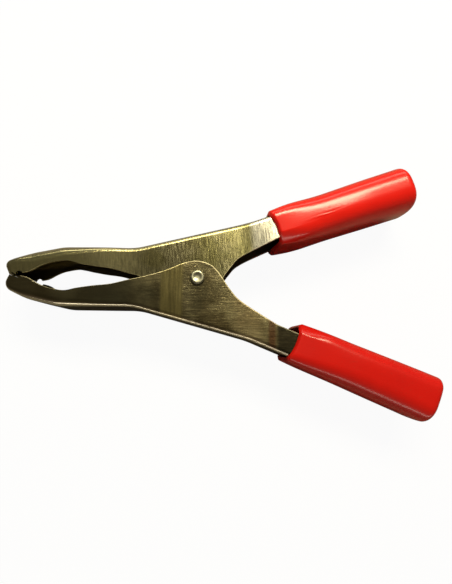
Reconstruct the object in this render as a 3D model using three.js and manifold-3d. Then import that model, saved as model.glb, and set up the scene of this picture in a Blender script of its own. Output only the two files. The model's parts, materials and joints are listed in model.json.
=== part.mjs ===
// Battery test lead clip: two pressed sheet-steel jaw arms on one rivet, closed by a torsion
// spring, with a soft sleeve on each handle and a screw terminal for the cable.
//
// Frame: millimetres, +Z up. The clip lies flat on its side, so the rivet stands along Z.
// +X runs from the jaws to the handles, +Y towards the upper arm. The origin is under the
// middle of the whole clip, on the surface it lies on.

import * as THREE from 'three';
import { mergeVertices } from 'three/addons/utils/BufferGeometryUtils.js';
import Module from 'manifold-3d';

const wasm = await Module();
wasm.setup();

// ---- driving dimensions ----------------------------------------------------------------

const SHEET = 1.2;                 // steel thickness of both arms
const FIT = 0.3;                   // gap between pieces that touch
const LOWER_WIDTH = 22;            // lower arm over its cheeks
const UPPER_WIDTH = LOWER_WIDTH - 2 * (SHEET + FIT);
const GRIP_WALL = 1.4;             // sleeve thickness
const GRIP_MOUTH_DEPTH = LOWER_WIDTH + 2 * (FIT + GRIP_WALL);
const GRIP_DEPTH = 27.8;           // sleeve's thickness along its rear half, where it lies
const GRIP_LENGTH = 55.6;
const GRIP_AXIS = 5.5;             // sleeve's axis below the handle's back
const GRIP_REAR_ROUND = 2.2;
const CABLE_HOLE_RADIUS = 5;
const CHEEK_DEPTH = 9;             // cheek height along the handles
const ARM_IN_GRIP = 44;            // how far each arm reaches into its sleeve
const RIVET_RADIUS = 1.9;
const RIVET_HEAD_RADIUS = 2.5;
const RIVET_HEAD_HEIGHT = 1.2;
const BUSH_WALL = 1.2;
const WIRE_RADIUS = 1;             // spring wire
const COIL_RADIUS = 5;             // to the middle of the wire
const COIL_TURNS = 5;              // full turns, besides the part turn between the legs
const NOTCH_RADIUS = 1.25;         // round notch through both noses
const NOTCH_X = -63.6;
const SCREW_RADIUS = 2;
const SCREW_INSET = 33;            // terminal screw, from the sleeve's mouth
const SCREW_HEAD_RADIUS = 3.7;
const SCREW_HEAD_HEIGHT = 2.4;
const COLLAR_WALL = 1.4;           // tapped collar pressed inwards from the web
const COLLAR_HEIGHT = 1.5;
const PLATE_SIDE = 10.4;           // square clamp plate
const PLATE_THICKNESS = 1.1;
const LOCK_WASHER = 0.9;           // split washer's thickness
const PIVOT = new THREE.Vector2(-9.7, 2.4);

const MIDDLE = GRIP_DEPTH / 2;     // height of the clip's middle plane
const BEND_STEPS = 3;
const ARM_STATIONS = 56;
const CORNER_STEPS = 5;
const ROUND = 28;                  // sides of a turned piece

// ---- finishes --------------------------------------------------------------------------

const finish = (color, roughness, metalness) =>
  new THREE.MeshStandardMaterial({ color, roughness, metalness });

const STEEL = () => finish(0x80744a, 0.34, 1);
const RIVET_STEEL = () => finish(0xb9b59c, 0.3, 1);
const SPRING_STEEL = () => finish(0x5d5a50, 0.4, 1);
const BRASS = () => finish(0xb08d4a, 0.35, 1);
const RED_VINYL = () => finish(0xc8160d, 0.3, 0);

// ---- solids ----------------------------------------------------------------------------

// The same surface with positions only, and one vertex where several faces meet.
function merged(geometry) {
  const bare = geometry.clone();
  bare.deleteAttribute('normal');
  bare.deleteAttribute('uv');
  return mergeVertices(bare, 1e-4);
}

function toSolid(geometry) {
  const shell = merged(geometry);
  return new wasm.Manifold(new wasm.Mesh({
    numProp: 3,
    vertProperties: new Float32Array(shell.attributes.position.array),
    triVerts: new Uint32Array(shell.index.array),
  }));
}

function toGeometry(solid) {
  const mesh = solid.getMesh();
  const geometry = new THREE.BufferGeometry();
  geometry.setAttribute('position', new THREE.BufferAttribute(mesh.vertProperties, 3));
  geometry.setIndex(new THREE.BufferAttribute(mesh.triVerts, 1));
  geometry.computeVertexNormals();
  return geometry;
}

// Rings of equal point count become one closed skin. With closed rings the last ring joins
// the first, as on a tube that turns back through itself; otherwise both ends are capped.
function skin(rings, { joinEnds }) {
  const count = rings[0].length;
  const positions = rings.flat().flatMap((point) => point.toArray());
  const triangles = [];
  const ringPairs = joinEnds ? rings.length : rings.length - 1;
  for (let i = 0; i < ringPairs; i += 1) {
    const next = (i + 1) % rings.length;
    for (let j = 0; j < count; j += 1) {
      const k = (j + 1) % count;
      const [a, b, c, d] = [i * count + j, i * count + k, next * count + k, next * count + j];
      triangles.push(a, b, c, a, c, d);
    }
  }
  const geometry = new THREE.BufferGeometry();
  geometry.setAttribute('position', new THREE.Float32BufferAttribute(positions, 3));
  geometry.setIndex(triangles);
  return geometry;
}

function signedVolume(geometry) {
  const p = geometry.attributes.position;
  const index = geometry.index.array;
  const [a, b, c] = [new THREE.Vector3(), new THREE.Vector3(), new THREE.Vector3()];
  let volume = 0;
  for (let i = 0; i < index.length; i += 3) {
    a.fromBufferAttribute(p, index[i]);
    b.fromBufferAttribute(p, index[i + 1]);
    c.fromBufferAttribute(p, index[i + 2]);
    volume += a.dot(b.cross(c)) / 6;
  }
  return volume;
}

function facingOut(geometry) {
  if (signedVolume(geometry) < 0) {
    const index = geometry.index.array;
    for (let i = 0; i < index.length; i += 3) {
      [index[i], index[i + 1]] = [index[i + 1], index[i]];
    }
  }
  return geometry;
}

// A round bar along Z, used as a piece and as a cutter.
function bar(radius, length, x = 0, y = 0, z = 0) {
  const geometry = new THREE.CylinderGeometry(radius, radius, length, ROUND);
  geometry.rotateX(Math.PI / 2);
  geometry.translate(x, y, z);
  return geometry;
}

function turned(profile) {
  const points = profile.map(([r, z]) => new THREE.Vector2(r, z));
  const geometry = new THREE.LatheGeometry(points, ROUND);
  geometry.rotateX(Math.PI / 2);
  return toGeometry(toSolid(facingOut(merged(geometry))));
}

// ---- outlines --------------------------------------------------------------------------

// A polyline whose inner corners are rounded with tangent arcs: [x, y, radius].
function roundedPath(corners) {
  const points = corners.map(([x, y]) => new THREE.Vector2(x, y));
  const path = new THREE.Path();
  path.moveTo(points[0].x, points[0].y);
  for (let i = 1; i < points.length - 1; i += 1) {
    const corner = points[i];
    const radius = corners[i][2];
    const back = points[i - 1].clone().sub(corner).normalize();
    const on = points[i + 1].clone().sub(corner).normalize();
    const half = Math.acos(back.dot(on)) / 2;
    const start = corner.clone().addScaledVector(back, radius / Math.tan(half));
    const end = corner.clone().addScaledVector(on, radius / Math.tan(half));
    const inward = back.clone().add(on).normalize();
    const centre = corner.clone().addScaledVector(inward, radius / Math.sin(half));
    const clockwise = back.cross(on) > 0;
    path.lineTo(start.x, start.y);
    path.absarc(centre.x, centre.y, radius, start.clone().sub(centre).angle(),
      end.clone().sub(centre).angle(), clockwise);
  }
  const last = points[points.length - 1];
  path.lineTo(last.x, last.y);
  return path;
}

// Both arms are drawn as the upper one, about the pivot. The handle leaves the knee at its
// own angle: along() gives a point on the handle's back, moved inwards by depth.
function handle(knee, degrees) {
  const angle = THREE.MathUtils.degToRad(degrees);
  const direction = new THREE.Vector2(Math.cos(angle), Math.sin(angle));
  const inward = new THREE.Vector2(direction.y, -direction.x);
  const along = (distance, depth) =>
    knee.clone().addScaledVector(direction, distance).addScaledVector(inward, depth);
  return { angle, direction, inward, along };
}

// Back of the arm: nose, hollow jaw, shallow throat and the long ramp up to the handle.
function backLine(arm) {
  const tail = arm.handle.along(arm.mouth + ARM_IN_GRIP, 0);
  return roundedPath([
    [arm.nose.x + 2, FIT / 2],
    [arm.nose.x, arm.nose.y, 1.8],
    [-60.5, 8.7, 20],
    [-49.5, 11.1, 20],
    [-23, 10.85, 24],
    [arm.knee.x, arm.knee.y, 40],
    [tail.x, tail.y],
  ]);
}

// Free edge of the cheek: gripping lobe, long hollow, ear round the pivot, handle.
function edgeLine(arm) {
  const path = new THREE.Path();
  path.moveTo(-65, FIT / 2);
  path.splineThru([
    [-62.3, 0.6], [-59.6, 1.35], [-56.5, 3.15], [-53, 4.55], [-47.3, 5.5], [-42.5, 4.5],
    [-37, 3.6], [-31, 2.85], [-25, 1.3], [-17, -0.7], [-10.5, -2.9], [-5, -5.3],
    [0, -6.15], [4.6, -4.9], [8, -1.6], [12, 4.2], [16.5, 8.7],
  ].map(([x, y]) => new THREE.Vector2(x, y)).concat(arm.handle.along(7, CHEEK_DEPTH)));
  const tail = arm.handle.along(arm.mouth + ARM_IN_GRIP, CHEEK_DEPTH);
  path.lineTo(tail.x, tail.y);
  return path;
}

// ---- jaw arms --------------------------------------------------------------------------

// One pressed channel: a web along the back line, two rounded bends and two cheeks that
// reach the edge line. Stations lie closer together at the nose, where the sheet turns.
function channel(arm) {
  const back = backLine(arm);
  const edge = edgeLine(arm);
  const rings = [];
  for (let i = 0; i <= ARM_STATIONS; i += 1) {
    const along = (i / ARM_STATIONS) ** 1.5;
    const point = back.getPointAt(along);
    const tangent = back.getTangentAt(along);
    const inward = new THREE.Vector2(tangent.y, -tangent.x);
    const edgePoint = edge.getPointAt(along);
    const half = arm.halfWidth(point.x);
    const bend = arm.bend(along);
    const outer = [[edgePoint, half]];
    const inner = [[edgePoint, half - SHEET]];
    for (let j = 0; j <= BEND_STEPS; j += 1) {
      const turn = (j / BEND_STEPS) * Math.PI / 2;
      const place = (radius) => [
        point.clone().addScaledVector(inward, bend - radius * Math.sin(turn)),
        half - bend + radius * Math.cos(turn),
      ];
      outer.push(place(bend));
      inner.push(place(bend - SHEET));
    }
    const mirrored = (line) => line.map(([p, z]) => [p, -z]).reverse();
    const section = [...outer, ...mirrored(outer), ...inner.concat(mirrored(inner)).reverse()];
    rings.push(section.map(([p, z]) => new THREE.Vector3(p.x, arm.side * p.y, z)));
  }
  return facingOut(closeEnds(rings));
}

// A U-shaped ring pairs each outer point with the inner one behind it, so the two end caps
// are strips of that pairing.
function closeEnds(rings) {
  const geometry = skin(rings, { joinEnds: false });
  const count = rings[0].length;
  const index = Array.from(geometry.index.array);
  for (const [start, flip] of [[0, false], [(rings.length - 1) * count, true]]) {
    for (let j = 0; j < count / 2 - 1; j += 1) {
      const [a, b] = [start + j, start + j + 1];
      const [c, d] = [start + count - 2 - j, start + count - 1 - j];
      index.push(...(flip ? [a, b, c, a, c, d] : [c, b, a, d, c, a]));
    }
  }
  geometry.setIndex(index);
  return geometry;
}

// Each arm has a bore for the rivet, and half of a round notch where the noses meet.
function jawArm(arm) {
  const through = 2 * LOWER_WIDTH;
  const notch = bar(NOTCH_RADIUS, through, NOTCH_X, 0.1 * arm.side);
  let solid = toSolid(channel(arm));
  solid = solid.subtract(toSolid(bar(RIVET_RADIUS + FIT, through)));
  solid = solid.subtract(toSolid(notch));
  if (arm.terminal) {
    const { collar, tapping } = arm.terminal;
    solid = solid.add(toSolid(collar)).subtract(toSolid(tapping));
  }
  return toGeometry(solid);
}

// ---- sleeves ---------------------------------------------------------------------------

function roundedSection(x, halfY, halfZ, corner) {
  const points = [];
  for (let quarter = 0; quarter < 4; quarter += 1) {
    const signY = quarter === 0 || quarter === 3 ? 1 : -1;
    const signZ = quarter < 2 ? 1 : -1;
    for (let j = 0; j <= CORNER_STEPS; j += 1) {
      const turn = (quarter + j / CORNER_STEPS) * Math.PI / 2;
      points.push(new THREE.Vector3(x,
        signY * (halfY - corner) + corner * Math.cos(turn),
        signZ * (halfZ - corner) + corner * Math.sin(turn)));
    }
  }
  return points;
}

// The sleeve runs along its own +X from the mouth. Its stations give the distance from the
// mouth, the half widths on the back's side and on the open side, and the half depth. A
// rounded end leaves a hole for the cable.
function sleeve(stations, side) {
  const rim = GRIP_WALL / 3;
  const section = ([x, backHalf, openHalf, halfDepth], inset, corner) =>
    roundedSection(x, (backHalf + openHalf) / 2 - inset, halfDepth - inset, corner)
      .map((point) => point.setY(point.y + side * (backHalf - openHalf) / 2));
  const share = (x) => x / GRIP_LENGTH;
  const outer = (station, inset) =>
    section(station, inset, THREE.MathUtils.lerp(5, 7, share(station[0])) - inset);
  const inner = (station, inset) =>
    section(station, inset, THREE.MathUtils.lerp(2, 3.8, share(station[0])));
  const at = (x, station) => [x, ...station.slice(1)];
  const last = stations[stations.length - 1];
  const rings = [outer(stations[0], rim), outer(at(rim, stations[0]), 0)];
  rings.push(...stations.slice(1, -1).map((station) => outer(station, 0)));
  for (let j = 0; j <= 4; j += 1) {
    const turn = (j / 4) * Math.PI / 2;
    const x = GRIP_LENGTH - GRIP_REAR_ROUND * (1 - Math.sin(turn));
    rings.push(outer(at(x, last), GRIP_REAR_ROUND * (1 - Math.cos(turn))));
  }
  const hole = (x) =>
    roundedSection(x, CABLE_HOLE_RADIUS, CABLE_HOLE_RADIUS, CABLE_HOLE_RADIUS);
  const innerEnd = GRIP_LENGTH - GRIP_WALL;
  const innerRound = 1.5;
  rings.push(hole(GRIP_LENGTH), hole(innerEnd));
  rings.push(inner(at(innerEnd, last), GRIP_WALL + innerRound));
  rings.push(inner(at(innerEnd - innerRound, last), GRIP_WALL));
  rings.push(...stations.slice(1, -1).reverse().map((station) => inner(station, GRIP_WALL)));
  rings.push(inner(stations[0], GRIP_WALL - rim / 2));
  return toGeometry(toSolid(facingOut(skin(rings, { joinEnds: true }))));
}

const MOUTH_HALF = GRIP_MOUTH_DEPTH / 2;
const REAR_HALF = GRIP_DEPTH / 2;

const LOWER_SLEEVE = [
  [0, 7.3, 7.3, MOUTH_HALF],
  [4, 7.5, 7.5, MOUTH_HALF + 0.3],
  [9, 7.7, 7.8, MOUTH_HALF + 0.6],
  [16, 7.85, 8.1, REAR_HALF - 0.3],
  [25, 8, 8.4, REAR_HALF],
  [GRIP_LENGTH, 8.6, 9.1, REAR_HALF],
];

const UPPER_SLEEVE = [
  [0, 7.3, 5.8, MOUTH_HALF],
  [4, 7.7, 6.6, MOUTH_HALF + 0.3],
  [9, 8.2, 7.3, MOUTH_HALF + 0.6],
  [16, 8.45, 7.7, REAR_HALF - 0.3],
  [25, 8.7, 7.9, REAR_HALF],
  [GRIP_LENGTH, 9.2, 8.5, REAR_HALF],
];

// ---- rivet, bush and spring ------------------------------------------------------------

const OUTER_FACE = LOWER_WIDTH / 2;

// Semi-tubular rivet: a low button head below, and a rolled rim round a dimple on top.
function rivet() {
  const face = OUTER_FACE + FIT;
  const top = face + RIVET_HEAD_HEIGHT;
  const head = RIVET_HEAD_RADIUS;
  return turned([
    [0, -top],
    [head * 0.6, -top + 0.1],
    [head, -face - 0.4],
    [head, -face],
    [RIVET_RADIUS, -face],
    [RIVET_RADIUS, face],
    [head, face],
    [head, face + 0.5],
    [head * 0.8, top - 0.15],
    [head * 0.6, top],
    [head * 0.42, top - 0.2],
    [head * 0.32, face - 0.6],
    [0, face - 0.8],
  ]);
}

function tube(innerRadius, outerRadius, low, high) {
  return turned([
    [innerRadius, low], [outerRadius, low], [outerRadius, high], [innerRadius, high],
    [innerRadius, low],
  ]);
}

// Wire route: tip of the first leg, elbow, coil, elbow, tip of the second leg. Each leg
// leaves the coil along its tangent and ends flat against its arm's web.
function springRoute() {
  const pitch = 2 * WIRE_RADIUS + 0.35;
  const elbow = new THREE.Vector2(19.5, 18.9);
  const tip = new THREE.Vector2(27, 21.4);
  const tangentLength = Math.sqrt(elbow.lengthSq() - COIL_RADIUS ** 2);
  const lean = elbow.angle() - Math.atan2(COIL_RADIUS, tangentLength);
  const from = lean + Math.PI / 2;
  const sweep = 2 * Math.PI * COIL_TURNS + (Math.PI - 2 * lean);
  const rise = pitch * sweep / (2 * Math.PI);
  const steps = COIL_TURNS * 16;
  const leg = (side) => {
    const z = side * rise / -2;
    const coilPoint = new THREE.Vector2(COIL_RADIUS, 0).rotateAround(new THREE.Vector2(), from);
    const before = coilPoint.clone().lerp(elbow, 0.92);
    const after = elbow.clone().lerp(tip, 0.15);
    const middle = coilPoint.clone().lerp(elbow, 0.45);
    const near = coilPoint.clone().lerp(elbow, 0.1);
    return [tip, after, before, middle, near].map((p) => new THREE.Vector3(p.x, side * p.y, z));
  };
  const points = leg(1);
  for (let i = 0; i <= steps; i += 1) {
    const turn = from + sweep * i / steps;
    points.push(new THREE.Vector3(COIL_RADIUS * Math.cos(turn), COIL_RADIUS * Math.sin(turn),
      rise * (i / steps - 0.5)));
  }
  return new THREE.CatmullRomCurve3(points.concat(leg(-1).reverse()), false, 'centripetal');
}

function spring() {
  const wire = new THREE.Shape();
  wire.absarc(0, 0, WIRE_RADIUS, 0, 2 * Math.PI);
  const geometry = new THREE.ExtrudeGeometry(wire, {
    steps: 150, curveSegments: 4, extrudePath: springRoute(), bevelEnabled: false,
  });
  return toGeometry(toSolid(geometry));
}

// ---- cable terminal --------------------------------------------------------------------

// The terminal stands on the lower arm's web, inside its sleeve. Its X runs along the
// handle and its Z, about which its pieces are turned, points from the web into the channel.
function terminalPlace(arm) {
  const { direction, inward } = arm.handle;
  const foot = arm.handle.along(arm.mouth + SCREW_INSET, SHEET);
  const alongHandle = new THREE.Vector3(direction.x, arm.side * direction.y, 0);
  const intoChannel = new THREE.Vector3(inward.x, arm.side * inward.y, 0);
  const across = intoChannel.clone().cross(alongHandle);
  return new THREE.Matrix4()
    .makeBasis(alongHandle, across, intoChannel)
    .setPosition(foot.x, arm.side * foot.y, 0);
}

const STRAND_GAP = 1.2;            // room for the cable's strands, between collar and plate
const PLATE_LOW = COLLAR_HEIGHT + STRAND_GAP;
const WASHER_LOW = PLATE_LOW + PLATE_THICKNESS + FIT;
const HEAD_LOW = WASHER_LOW + LOCK_WASHER + FIT;

function clampPlate() {
  const half = PLATE_SIDE / 2;
  const outline = new THREE.Shape();
  outline.moveTo(-half, -half);
  outline.lineTo(half, -half);
  outline.lineTo(half, half);
  outline.lineTo(-half, half);
  outline.closePath();
  const hole = new THREE.Path();
  hole.absarc(0, 0, SCREW_RADIUS + FIT, 0, 2 * Math.PI);
  outline.holes.push(hole);
  const plate = new THREE.ExtrudeGeometry(outline, {
    depth: PLATE_THICKNESS, bevelEnabled: false, curveSegments: 8,
  });
  plate.translate(0, 0, PLATE_LOW);
  return toGeometry(toSolid(plate));
}

// Split spring washer: a ring with a narrow slanted gap.
function lockWasher() {
  const ring = tube(SCREW_RADIUS + FIT, SCREW_RADIUS + 1.6, WASHER_LOW, WASHER_LOW + LOCK_WASHER);
  const gap = new THREE.BoxGeometry(3, 0.6, 4);
  gap.rotateX(0.5);
  gap.translate(SCREW_RADIUS + 1, 0, WASHER_LOW + LOCK_WASHER / 2);
  return toGeometry(toSolid(ring).subtract(toSolid(gap)));
}

// Pan-head screw, slotted, whose end stops just inside the web's outer face.
function terminalScrew() {
  const top = HEAD_LOW + SCREW_HEAD_HEIGHT;
  const body = turned([
    [0, -SHEET + FIT], [SCREW_RADIUS - 0.3, -SHEET + FIT], [SCREW_RADIUS, -SHEET + 2 * FIT],
    [SCREW_RADIUS, HEAD_LOW], [SCREW_HEAD_RADIUS, HEAD_LOW], [SCREW_HEAD_RADIUS, top - 0.9],
    [SCREW_HEAD_RADIUS - 0.7, top - 0.2], [SCREW_HEAD_RADIUS / 2, top], [0, top],
  ]);
  const slot = new THREE.BoxGeometry(3 * SCREW_HEAD_RADIUS, 1, SCREW_HEAD_HEIGHT / 2);
  slot.translate(0, 0, top);
  return toGeometry(toSolid(body).subtract(toSolid(slot)));
}

// ---- the two arms ----------------------------------------------------------------------

function makeArm({ side, nose, knee, degrees, mouth, halfWidth, noseBend, bend }) {
  const kneePoint = new THREE.Vector2(...knee);
  return {
    side,
    nose: new THREE.Vector2(...nose),
    mouth,
    halfWidth,
    knee: kneePoint,
    handle: handle(kneePoint, degrees),
    bend: (along) => bend + (noseBend - bend) * Math.sin(Math.min(1, along / 0.1) * Math.PI),
  };
}

const lowerArm = makeArm({
  side: -1,
  nose: [-68.5, 4.8],
  knee: [19, 22.1],
  degrees: 22,
  mouth: 14.5,
  halfWidth: () => LOWER_WIDTH / 2,
  noseBend: 2.6,
  bend: 1.7,
});

// The upper arm is narrower at the jaws and the pivot, and spreads before its handle.
const upperArm = makeArm({
  side: 1,
  nose: [-69.9, 4.5],
  knee: [21, 22.2],
  degrees: 19.6,
  mouth: 5.8,
  halfWidth: (x) => THREE.MathUtils.lerp(UPPER_WIDTH / 2, LOWER_WIDTH / 2,
    THREE.MathUtils.smoothstep(x, 14, 27)),
  noseBend: 4.2,
  bend: 1.7,
});

const terminal = terminalPlace(lowerArm);
lowerArm.terminal = {
  collar: bar(SCREW_RADIUS + COLLAR_WALL, COLLAR_HEIGHT + SHEET / 2, 0, 0,
    COLLAR_HEIGHT / 2 - SHEET / 4).applyMatrix4(terminal),
  tapping: bar(SCREW_RADIUS + FIT, 20).applyMatrix4(terminal),
};

function sleeveOn(arm, stations, material) {
  const mesh = new THREE.Mesh(sleeve(stations, arm.side), material);
  const mouth = arm.handle.along(arm.mouth, GRIP_AXIS);
  mesh.position.set(mouth.x, arm.side * mouth.y, 0);
  mesh.rotation.z = arm.side * arm.handle.angle;
  return mesh;
}

function onTerminal(geometry, material) {
  const mesh = new THREE.Mesh(geometry, material);
  mesh.applyMatrix4(terminal);
  return mesh;
}

// ---- assembly --------------------------------------------------------------------------

const innerFace = UPPER_WIDTH / 2 - SHEET - FIT;
const bushInner = RIVET_RADIUS + FIT;

const pieces = {
  lower_jaw_arm: new THREE.Mesh(jawArm(lowerArm), STEEL()),
  upper_jaw_arm: new THREE.Mesh(jawArm(upperArm), STEEL()),
  pivot_rivet: new THREE.Mesh(rivet(), RIVET_STEEL()),
  pivot_bush: new THREE.Mesh(
    tube(bushInner, bushInner + BUSH_WALL, -innerFace, innerFace), BRASS()),
  torsion_spring: new THREE.Mesh(spring(), SPRING_STEEL()),
  lower_grip: sleeveOn(lowerArm, LOWER_SLEEVE, RED_VINYL()),
  upper_grip: sleeveOn(upperArm, UPPER_SLEEVE, RED_VINYL()),
  cable_clamp_plate: onTerminal(clampPlate(), BRASS()),
  cable_lock_washer: onTerminal(lockWasher(), SPRING_STEEL()),
  cable_screw: onTerminal(terminalScrew(), BRASS()),
};

const clip = new THREE.Group();
clip.position.set(PIVOT.x, PIVOT.y, MIDDLE);
for (const [name, mesh] of Object.entries(pieces)) {
  mesh.name = name;
  clip.add(mesh);
}

export default clip;
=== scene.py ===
# %% [markdown]
# # A spring clip for a test lead
#
# This clip is two pressed sheet-steel channels that turn on one rivet. A torsion spring
# closes the jaws, and a soft red sleeve covers each handle. The lead is clamped by a screw
# inside the lower sleeve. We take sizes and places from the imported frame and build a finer
# surface for every piece of it.

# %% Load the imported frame
import json
import math

import bmesh
import bpy
from mathutils import Matrix, Vector


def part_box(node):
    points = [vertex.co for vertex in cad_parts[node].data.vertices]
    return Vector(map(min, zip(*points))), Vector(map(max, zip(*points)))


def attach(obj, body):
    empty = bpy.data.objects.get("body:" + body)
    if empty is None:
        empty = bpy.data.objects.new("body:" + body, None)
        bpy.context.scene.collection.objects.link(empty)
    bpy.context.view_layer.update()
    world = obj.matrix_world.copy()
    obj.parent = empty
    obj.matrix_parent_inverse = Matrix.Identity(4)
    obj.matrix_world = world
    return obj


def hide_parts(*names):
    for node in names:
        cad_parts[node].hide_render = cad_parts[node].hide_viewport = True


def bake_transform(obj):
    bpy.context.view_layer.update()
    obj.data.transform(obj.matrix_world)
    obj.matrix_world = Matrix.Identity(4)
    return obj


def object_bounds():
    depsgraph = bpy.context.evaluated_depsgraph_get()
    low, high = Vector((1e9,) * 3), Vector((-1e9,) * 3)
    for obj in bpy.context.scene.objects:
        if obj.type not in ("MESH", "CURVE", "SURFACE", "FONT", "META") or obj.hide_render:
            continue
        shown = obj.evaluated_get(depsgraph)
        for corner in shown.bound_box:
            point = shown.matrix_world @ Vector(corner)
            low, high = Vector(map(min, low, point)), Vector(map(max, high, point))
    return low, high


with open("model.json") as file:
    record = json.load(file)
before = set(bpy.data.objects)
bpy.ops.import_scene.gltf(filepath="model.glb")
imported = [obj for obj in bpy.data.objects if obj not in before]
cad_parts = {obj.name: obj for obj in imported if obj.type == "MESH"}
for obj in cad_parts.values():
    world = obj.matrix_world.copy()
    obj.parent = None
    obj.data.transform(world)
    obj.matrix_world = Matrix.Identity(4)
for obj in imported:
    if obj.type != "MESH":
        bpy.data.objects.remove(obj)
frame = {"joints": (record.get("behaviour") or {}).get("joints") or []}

cad_low, cad_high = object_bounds()
MM = 0.001                                        # one millimetre, in metres
PIVOT = Vector(frame["joints"][0]["pos_m"])
print("frame box, mm:", [round(x / MM, 1) for x in cad_high - cad_low])

# %% [markdown]
# ## The camera
#
# The clip is seen almost from straight above, a little from its lower side, by a wide lens
# close to it. That nearness is what lets the eye see down into the open channels. The view
# is aimed at the middle of the frame box, so we give its height, bearing and distance, and
# a small roll about the line of sight.

# %% Place the camera
VIEW_ELEVATION = math.radians(82.0)
VIEW_BEARING = math.radians(-18.1)
VIEW_DISTANCE = 159.8 * MM
VIEW_ROLL = math.radians(1.14)
VIEW_LENS = 25.52

middle = (cad_low + cad_high) / 2
aim = middle + Vector((1.07, -1.16, 0)) * MM
back = Vector((math.sin(VIEW_BEARING) * math.cos(VIEW_ELEVATION),
               -math.cos(VIEW_BEARING) * math.cos(VIEW_ELEVATION),
               math.sin(VIEW_ELEVATION)))
right = (Vector((1, 0, 0)) - back * back.x).normalized()
right = Matrix.Rotation(VIEW_ROLL, 3, back) @ right
up = back.cross(right)

camera = bpy.data.objects.new("camera", bpy.data.cameras.new("camera"))
camera.data.lens = VIEW_LENS
camera.data.sensor_width = 36
camera.data.clip_start = 5 * MM
camera.matrix_world = Matrix.Translation(aim + back * VIEW_DISTANCE) @ Matrix(
    (right, up, back)).transposed().to_4x4()
bpy.context.scene.collection.objects.link(camera)
bpy.context.scene.camera = camera
print("camera, mm:", [round(x / MM, 1) for x in camera.matrix_world.translation])

# %% [markdown]
# ## Small tools for node trees
#
# Every finish here is made of shader nodes. Small helpers keep that readable: one adds a node
# and sets its sockets, linking in other nodes' outputs, and others mix, map and do sums. A
# socket is found by its name, or by its place where a node has several with one name.

# %% Node helpers
def add_node(tree, kind, inputs=None, **settings):
    """A new node. A value in inputs is a plain value for a socket, or another node's output."""
    node = tree.nodes.new(kind)
    for key, value in settings.items():
        setattr(node, key, value)
    for key, value in (inputs or {}).items():
        if isinstance(value, bpy.types.NodeSocket):
            tree.links.new(value, node.inputs[key])
        else:
            node.inputs[key].default_value = value
    return node


def mix_colour(tree, amount, first, second, blend="MIX"):
    """A colour between first and second; on this node the colour sockets are 6 and 7."""
    node = add_node(tree, "ShaderNodeMix", {0: amount, 6: first, 7: second},
                    data_type="RGBA", blend_type=blend)
    return node.outputs[2]


def between(tree, value, low, high, out_low=0.0, out_high=1.0, smooth=True):
    """Value mapped from low..high to out_low..out_high, held at both ends."""
    node = add_node(tree, "ShaderNodeMapRange", {0: value, 1: low, 2: high, 3: out_low, 4: out_high},
                    interpolation_type="SMOOTHSTEP" if smooth else "LINEAR")
    return node.outputs[0]


def maths(tree, operation, first, second=0.0):
    node = add_node(tree, "ShaderNodeMath", {0: first, 1: second}, operation=operation)
    return node.outputs[0]


def times(tree, value, factor):
    return maths(tree, "MULTIPLY", value, factor)


def plus(tree, value, more):
    return maths(tree, "ADD", value, more)


def rgb(red, green, blue):
    return (red, green, blue, 1.0)


def darker(colour, share):
    """The same colour with this share of its light."""
    return rgb(*(share * x for x in colour[:3]))

# %% [markdown]
# ## Light
#
# Bright metal shows what stands round it more than its own colour. A dim room, darkest
# overhead and warm in front, keeps the flat cheeks deep and olive. One warm soft box hangs
# behind the upper arm: it lights the rounded bends, the end of the upper cheek and the crown
# of the upper sleeve. Two long strips stand low, one behind and one in front, and draw a pale
# line along the bends on their side. The floor is white paper to the eye, but it sends only a
# little light back up, so the open channels and the undersides stay dark.

# %% Studio light and floor
scene = bpy.context.scene
scene.view_settings.view_transform = "Standard"
scene.view_settings.look = "None"

BACKDROP = rgb(1.0, 1.0, 1.0)
PAPER_GLOW = 0.95                # share of the paper's white that needs no lamp
LIT_PAPER = rgb(0.9, 0.9, 0.9)
DIM_PAPER = rgb(0.33, 0.32, 0.31)         # the paper as it lights dull surfaces
MIRRORED_PAPER = rgb(0.18, 0.17, 0.15)    # the paper as a shiny surface mirrors it
FLOOR_REACH = 1.5
ROOM_BACK = rgb(0.11, 0.105, 0.085)
ROOM_ABOVE = rgb(0.085, 0.075, 0.055)
ROOM_FRONT = rgb(0.16, 0.12, 0.085)


def studio_sky():
    world = bpy.data.worlds.new("studio sky")
    world.use_nodes = True
    tree = world.node_tree
    tree.nodes.clear()
    direction = add_node(tree, "ShaderNodeTexCoord").outputs["Generated"]
    depth = add_node(tree, "ShaderNodeSeparateXYZ", {0: direction}).outputs["Y"]
    light = mix_colour(tree, between(tree, depth, -0.9, -0.4), ROOM_FRONT, ROOM_ABOVE)
    light = mix_colour(tree, between(tree, depth, -0.1, 0.6), light, ROOM_BACK)
    seen = add_node(tree, "ShaderNodeLightPath").outputs["Is Camera Ray"]
    shown = mix_colour(tree, seen, light, BACKDROP)
    surface = add_node(tree, "ShaderNodeBackground", {"Color": shown, "Strength": 1.0})
    output = add_node(tree, "ShaderNodeOutputWorld")
    tree.links.new(surface.outputs[0], output.inputs["Surface"])
    return world


def soft_box(name, lean_x, lean_y, distance, size, power, colour):
    """A rectangular lamp that leans from straight above by two angles and faces the clip."""
    lamp = bpy.data.lights.new(name, "AREA")
    lamp.shape = "RECTANGLE"
    lamp.size, lamp.size_y = size
    lamp.energy = power
    lamp.color = colour
    towards = Vector((math.tan(math.radians(lean_x)), math.tan(math.radians(lean_y)), 1))
    towards.normalize()
    place = middle + towards * distance
    holder = bpy.data.objects.new(name, lamp)
    holder.matrix_world = Matrix.Translation(place) @ towards.to_track_quat("Z", "Y").to_matrix().to_4x4()
    holder.visible_camera = False
    scene.collection.objects.link(holder)
    return holder


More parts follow.
